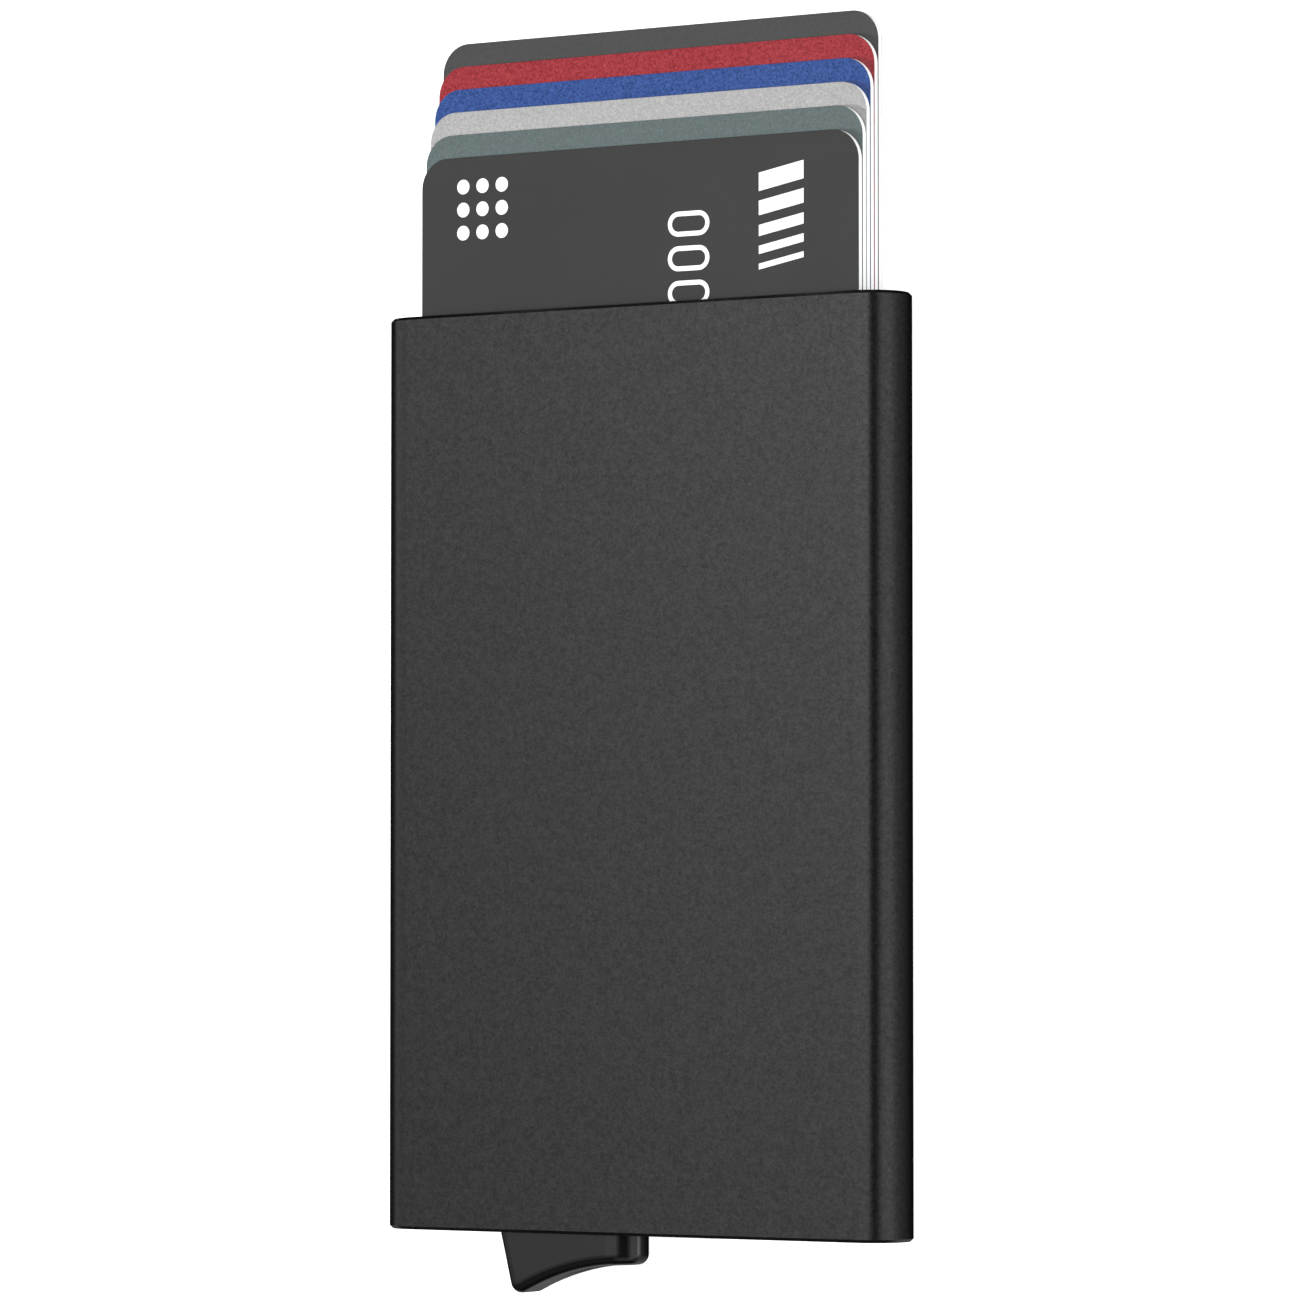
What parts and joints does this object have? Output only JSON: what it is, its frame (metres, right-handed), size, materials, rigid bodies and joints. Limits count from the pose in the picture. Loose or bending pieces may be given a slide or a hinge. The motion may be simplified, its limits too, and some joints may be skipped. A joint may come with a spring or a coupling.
{
  "type": "pop-up card wallet",
  "caption": "Flat black aluminium card case, open at one end, whose lever pushes bank cards out in a stepped fan.",
  "frame": {"origin": "centre of the case tube's flat back face", "axes": "+Y along the tube towards the card mouth, +Z from the back face to the front face, +X to the right seen from the front; the wallet lies on its back"},
  "size_m": [0.063, 0.1323, 0.008],
  "materials": {
    "anodised_shell": "fine matt black anodised, slight grain",
    "cap_plastic": "moulded black",
    "guide_plastic": "moulded black",
    "lever_plastic": "moulded black, satin",
    "pin_steel": "ground",
    "spring_steel": "drawn wire",
    "grip_strip": "soft, dull",
    "felt": "pressed felt",
    "card_core": "white, cut edge",
    "card_1_print": "charcoal print, white marks",
    "card_2_print": "grey-green print",
    "card_3_print": "light grey print",
    "card_4_print": "blue print",
    "card_5_print": "red print",
    "card_6_print": "dark grey print",
    "chip_contacts": "gold plated"
  },
  "bodies": {
    "case": {"case_shell": "anodised_shell", "end_cap": "cap_plastic", "pivot_pin": "pin_steel", "return_spring": "spring_steel", "side_guide_left": "guide_plastic", "side_guide_right": "guide_plastic", "grip_strip_left": "grip_strip", "grip_strip_right": "grip_strip", "felt_pad_left": "felt", "felt_pad_right": "felt"},
    "lever": {"eject_lever": "lever_plastic"},
    "card_1": {"card_1_core": "card_core", "card_1_front": "card_1_print", "card_1_back": "card_1_print", "card_1_chip": "chip_contacts"},
    "card_2": {"card_2_core": "card_core", "card_2_front": "card_2_print", "card_2_back": "card_2_print"},
    "card_3": {"card_3_core": "card_core", "card_3_front": "card_3_print", "card_3_back": "card_3_print"},
    "card_4": {"card_4_core": "card_core", "card_4_front": "card_4_print", "card_4_back": "card_4_print"},
    "card_5": {"card_5_core": "card_core", "card_5_front": "card_5_print", "card_5_back": "card_5_print"},
    "card_6": {"card_6_core": "card_core", "card_6_front": "card_6_print", "card_6_back": "card_6_print"}
  },
  "joints": [
    {"name": "lever_swing", "type": "hinge", "parent": "case", "child": "lever", "pos_m": [-0.02, -0.04225, 0.004], "axis": [0, 0, 1], "range_deg": [0, 43], "stiffness_Nm_per_rad": 0.01, "springref_deg": -34.38, "deforming": ["return_spring"]},
    {"name": "card_1_slide", "type": "slide", "parent": "case", "child": "card_1", "axis": [0, 1, 0], "range_m": [-0.0173, 0.0708]},
    {"name": "card_2_slide", "type": "slide", "parent": "case", "child": "card_2", "axis": [0, 1, 0], "range_m": [-0.01984, 0.06826]},
    {"name": "card_3_slide", "type": "slide", "parent": "case", "child": "card_3", "axis": [0, 1, 0], "range_m": [-0.02238, 0.06572]},
    {"name": "card_4_slide", "type": "slide", "parent": "case", "child": "card_4", "axis": [0, 1, 0], "range_m": [-0.02492, 0.06318]},
    {"name": "card_5_slide", "type": "slide", "parent": "case", "child": "card_5", "axis": [0, 1, 0], "range_m": [-0.02746, 0.06064]},
    {"name": "card_6_slide", "type": "slide", "parent": "case", "child": "card_6", "axis": [0, 1, 0], "range_m": [-0.03, 0.0581]}
  ]
}
